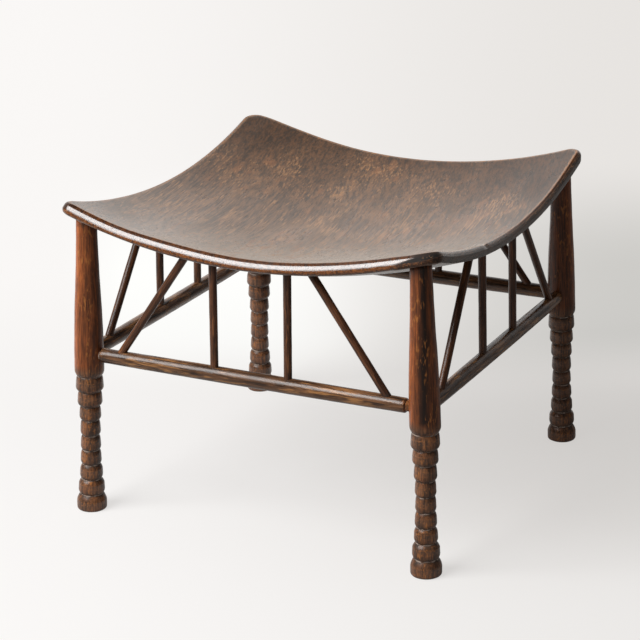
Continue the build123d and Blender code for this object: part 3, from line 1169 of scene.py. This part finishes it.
def make_seat(seed):
    """The seat: dished both ways, with a softly worn edge that has one old notch on the right."""
    outline = seat_outline()
    sections = [edge_section(place, outward) for place, outward in outline]
    places, facings, finish, lowered = seat_loops(outline, sections)
    marks = {label: np.array([each[label] for each in finish], float) for label in BARE_MARKS}
    notch = hump(np.linalg.norm((places - NOTCH) / NOTCH_SPREAD, axis=1), 1)
    marks["grime"] = np.maximum(marks["grime"], 0.8 * notch)
    points = age_seat(places, facings, marks["worn"], notch, lowered, seed)
    on_top = np.array([each is BARE_MARKS for each in finish])
    mark_stains(marks, places, on_top)
    marks = {label: np.append(values, [0, 0]) for label, values in marks.items()}
    dish_floor = UNDERSIDE_HEIGHT + SEAT_THICKNESS
    points = np.vstack([points, [(0, 0, dish_floor), (0, 0, UNDERSIDE_HEIGHT)]])
    mark_wear_and_sheen(marks, points, np.append(on_top, [True, False]), seed)
    across = points[:, 0] * cos(SEAT_GRAIN) + points[:, 1] * sin(SEAT_GRAIN)
    along = points[:, 1] * cos(SEAT_GRAIN) - points[:, 0] * sin(SEAT_GRAIN)
    timber = np.stack([across, points[:, 2], along], axis=1) + TIMBER_PLACE
    faces = wrap(len(places) // len(outline), len(outline), reverse=True)
    add_piece("oak_seat", "seat", "seat_oak", points, faces, timber, marks)


# The photograph's background, as linear values: palest at the left and, as painted shade, a little
# darker to the right
BACKGROUND_LEFT = (0.955, 0.935, 0.920, 1)
BACKGROUND_RIGHT = (0.800, 0.775, 0.750, 1)
# A painted pool of light and painted shade on the floor behind the stool
FLOOR_LIT = (1.0, 1.0, 0.98, 1)
FLOOR_SHADED = (0.61, 0.60, 0.575, 1)
FLOOR_GREY = (0.30, 0.295, 0.29, 1)
FLOOR_PALE = (0.98, 0.97, 0.96, 1)
FLOOR_ROUGHNESS = 0.9
FLOOR_GLOW = (0.72, 1.0)
HALF_FLOOR = 9.0
BELOW_FEET = 0.1 * MM
NEAREST_DEPTH = 0.5


def floor_glow(nodes, behind, bearing):
    """The background's colour, by how far behind the stool and how far to the right a place is seen,
    with a painted pool of light behind the stool and painted shade to its right.
    """
    darker = nodes.times(nodes.step(bearing, -0.15, 0.16), nodes.step(behind, -0.4, -0.1, 0.5, 1.0))
    glow = nodes.mix(darker, BACKGROUND_LEFT, BACKGROUND_RIGHT)
    band = nodes.times(nodes.step(behind, 0.25, 0.47), nodes.step(behind, 0.7, 1.35, 1.0, 0.0))
    pool = nodes.times(nodes.step(bearing, -0.13, -0.095), nodes.step(bearing, -0.045, 0.05, 1.0, 0.0))
    glow = nodes.mix(nodes.times(band, pool), glow, FLOOR_LIT)
    return nodes.mix(nodes.times(band, nodes.step(bearing, -0.02, 0.15)), glow, FLOOR_SHADED)


def set_floor():
    """A wide plain floor that keeps the stool's shadow and glows with the photograph's background."""
    mesh = bpy.data.meshes.new("floor")
    corners = [(side_x * HALF_FLOOR, side_y * HALF_FLOOR, 0) for side_x, side_y in CORNERS.values()]
    mesh.from_pydata(corners, [], [(0, 1, 2, 3)])
    material = bpy.data.materials.new("plain floor")
    material.use_nodes = True
    nodes = Nodes(material.node_tree)
    surface = material.node_tree.nodes["Principled BSDF"]
    path = material.node_tree.nodes.new("ShaderNodeLightPath").outputs
    place = nodes.put("ShaderNodeNewGeometry", {}, "Position")
    aside = nodes.reach(place, LEVEL_WAY)
    behind = nodes.reach(place, BACKDROP_WAY)
    depth = nodes.plus(behind, VIEW_DISTANCE * cos(VIEW_ELEVATION))
    bearing = nodes.maths("DIVIDE", aside, nodes.maths("MAXIMUM", depth, NEAREST_DEPTH))
    mirrored = nodes.maths("MAXIMUM", path["Is Glossy Ray"], path["Is Transmission Ray"])
    mirrored = nodes.times(mirrored, nodes.step(behind, -0.5, 0.4, 0.04, 1.0))
    mirrored = nodes.times(mirrored, nodes.step(aside, 0.05, 0.38, 1.0, 0.12))
    seen = nodes.maths("MAXIMUM", path["Is Camera Ray"], mirrored)
    nodes.feed(surface.inputs["Base Color"], nodes.mix(seen, FLOOR_GREY, FLOOR_PALE))
    surface.inputs["Roughness"].default_value = FLOOR_ROUGHNESS
    surface.inputs["Specular IOR Level"].default_value = 0.0
    glow = floor_glow(nodes, behind, bearing)
    pale = nodes.put("ShaderNodeEmission", {"Color": glow, "Strength": 1.0})
    share = nodes.times(seen, nodes.step(behind, 0.1, 0.75, *FLOOR_GLOW))
    mixed = nodes.put("ShaderNodeMixShader", {0: share, 1: surface.outputs["BSDF"], 2: pale})
    nodes.feed(material.node_tree.nodes["Material Output"].inputs["Surface"], mixed)
    mesh.materials.append(material)
    floor = bpy.data.objects.new("floor", mesh)
    floor.location.z = -BELOW_FEET
    bpy.context.scene.collection.objects.link(floor)


KEY_WAY = Vector((-0.4185, -0.60, 0.68)).normalized()
KEY_TARGET = UP * (200 * MM)
KEY_DISTANCE = 2.9
KEY_SIZE = (2.0, 1.6)
KEY_POWER = 92


def set_lamp():
    """One tall soft lamp to the left of the front."""
    lamp = bpy.data.lights.new("soft_window", "AREA")
    lamp.shape = "RECTANGLE"
    lamp.size, lamp.size_y = KEY_SIZE
    lamp.energy = KEY_POWER
    light = bpy.data.objects.new("soft_window", lamp)
    turned = KEY_WAY.to_track_quat("Z", "Y").to_matrix().to_4x4()
    light.matrix_world = Matrix.Translation(KEY_TARGET + KEY_WAY * KEY_DISTANCE) @ turned
    bpy.context.scene.collection.objects.link(light)


# The room's light on the stool, and how dark and pale its sides are in reflections
ROOM_LIGHT = 0.16
ROOM_DARK = 0.03
ROOM_PALE = 0.95


def set_room():
    """A room whose backdrop, seen in reflections, is pale behind the stool and dark elsewhere."""
    world = bpy.data.worlds.new("pale_room")
    bpy.context.scene.world = world
    world.use_nodes = True
    nodes = Nodes(world.node_tree)
    background = world.node_tree.nodes["Background"]
    path = world.node_tree.nodes.new("ShaderNodeLightPath").outputs
    way = nodes.put("ShaderNodeTexCoord", {}, "Generated")
    behind = nodes.reach(way, BACKDROP_WAY)
    aside = nodes.reach(way, LEVEL_WAY)
    height = nodes.put("ShaderNodeSeparateXYZ", {0: way}, "Z")
    backdrop = nodes.times(nodes.step(behind, 0.0, 0.5), nodes.step(height, 0.45, 0.95, 1.0, 0.0))
    backdrop = nodes.times(backdrop, nodes.step(aside, 0.45, 0.85, 1.0, 0.12))
    backdrop = nodes.times(backdrop, nodes.step(aside, -0.85, -0.35, 0.2, 1.0))
    corner = nodes.times(nodes.step(aside, 0.3, 0.45), nodes.step(height, 0.36, 0.5))
    backdrop = nodes.times(backdrop, nodes.maths("SUBTRACT", 1.0, nodes.times(corner, 0.85)))
    mirrored = nodes.maths("MAXIMUM", path["Is Glossy Ray"], path["Is Transmission Ray"])
    strength = nodes.blend(mirrored, ROOM_LIGHT, nodes.blend(backdrop, ROOM_DARK, ROOM_PALE))
    strength = nodes.blend(path["Is Camera Ray"], strength, ROOM_PALE)
    background.inputs["Color"].default_value = (1, 1, 1, 1)
    nodes.feed(background.inputs["Strength"], strength)


# The first seeds of the legs, the rails, and the uprights and braces, and the seat's seed
LEG_SEED = 11
RAIL_SEED = 31
SPINDLE_SEED = 51
SEAT_SEED = 7

set_camera()
for number, corner in enumerate(CORNERS):
    make_leg(corner, LEG_SEED + number)
for number, side in enumerate(SIDES):
    make_rail(side, RAIL_SEED + number)
    lines = lattice_lines(side)
    for place, (node, (start, up)) in enumerate(lines.items()):
        make_spindle(node, start, up, SPINDLE_SEED + len(lines) * number + place)
make_seat(SEAT_SEED)
set_floor()
set_lamp()
set_room()
bpy.context.scene.view_settings.view_transform = "Standard"
